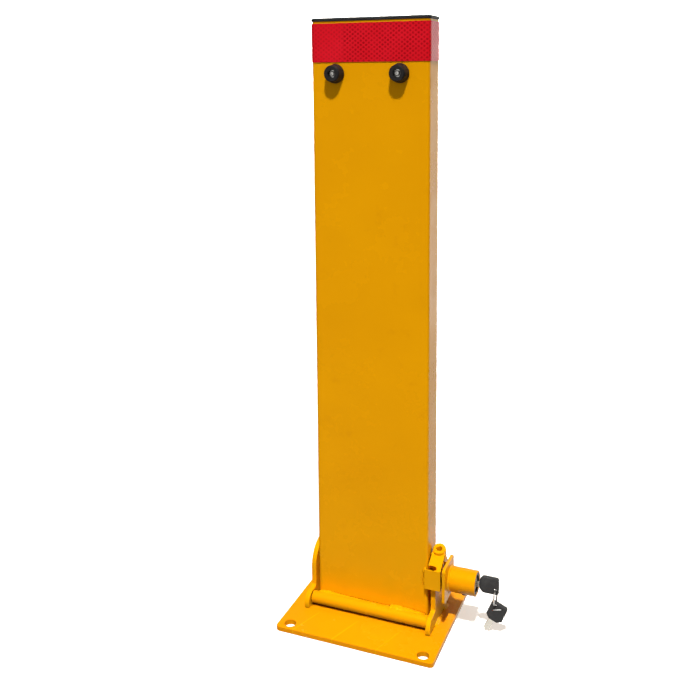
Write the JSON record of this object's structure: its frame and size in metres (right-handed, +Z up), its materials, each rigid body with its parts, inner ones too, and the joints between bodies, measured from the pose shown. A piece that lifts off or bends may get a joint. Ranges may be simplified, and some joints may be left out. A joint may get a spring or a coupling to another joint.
{
  "type": "folding parking lock",
  "caption": "Fold-down flat steel parking post on a bolt-down base plate, hinged at its foot, with a side key lock, rubber bumpers and a reflective band.",
  "frame": {"origin": "centre of the base plate's underside", "axes": "+Z up along the raised post, -Y the way the post folds down, +X the lock side"},
  "size_m": [0.2204, 0.14, 0.6123],
  "materials": {
    "yellow_paint": "gloss powder coat",
    "zinc_steel": "bright zinc",
    "brass": "satin",
    "black_rubber": "matt",
    "black_plastic": "moulded",
    "red_reflective": "prismatic reflective film"
  },
  "bodies": {
    "base": {"base_plate": "yellow_paint", "left_ear": "yellow_paint", "right_ear": "yellow_paint", "left_front_tack_weld": "yellow_paint", "left_rear_tack_weld": "yellow_paint", "right_front_tack_weld": "yellow_paint", "right_rear_tack_weld": "yellow_paint", "rear_stop": "yellow_paint", "hinge_shaft": "yellow_paint", "lock_flange": "yellow_paint", "lock_spacer": "yellow_paint", "lock_housing": "yellow_paint", "housing_weld": "yellow_paint", "lock_core": "black_plastic", "core_retaining_ring": "black_plastic", "core_set_screw": "black_plastic"},
    "post": {"post_tube": "yellow_paint", "top_cap": "black_plastic", "reflective_tape": "red_reflective", "left_bumper": "black_rubber", "left_bumper_washer": "zinc_steel", "left_bumper_screw": "zinc_steel", "left_bumper_nut": "zinc_steel", "right_bumper": "black_rubber", "right_bumper_washer": "zinc_steel", "right_bumper_screw": "zinc_steel", "right_bumper_nut": "zinc_steel", "hinge_barrel": "yellow_paint", "barrel_weld": "yellow_paint", "latch_bracket": "yellow_paint", "bracket_weld": "yellow_paint", "latch_keeper": "yellow_paint"},
    "plug": {"lock_plug": "brass", "drive_cam": "zinc_steel"},
    "bolt": {"lock_bolt": "zinc_steel", "bolt_pin": "zinc_steel"},
    "key": {"key_blade": "zinc_steel", "key_bow": "black_plastic"},
    "ring": {"key_ring": "zinc_steel"},
    "spare_key": {"spare_key_blade": "zinc_steel", "spare_key_bow": "black_plastic"}
  },
  "joints": [
    {"name": "post_fold", "type": "hinge", "parent": "base", "child": "post", "pos_m": [0, -0.0198, 0.0126], "axis": [1, 0, 0], "range_deg": [0, 90.88]},
    {"name": "key_turn", "type": "hinge", "parent": "base", "child": "plug", "pos_m": [0.105, 0.0065, 0.0487], "axis": [1, 0, 0], "range_deg": [0, 90]},
    {"name": "bolt_slide", "type": "slide", "parent": "base", "child": "bolt", "axis": [-1, 0, 0], "range_m": [0, 0.0068]},
    {"name": "key_slide", "type": "slide", "parent": "plug", "child": "key", "axis": [1, 0, 0], "range_m": [0, 0.03]},
    {"name": "ring_swing", "type": "hinge", "parent": "key", "child": "ring", "pos_m": [0.1252, 0.0065, 0.046], "axis": [0, 1, 0], "range_deg": [-40, 10]},
    {"name": "spare_swing", "type": "hinge", "parent": "ring", "child": "spare_key", "pos_m": [0.1252, 0.0065, 0.03006], "axis": [0, 1, 0], "range_deg": [0, 30]}
  ],
  "couplings": [
    {"joint": "bolt_slide", "follows": "key_turn", "m_per_rad": 0.004329}
  ]
}
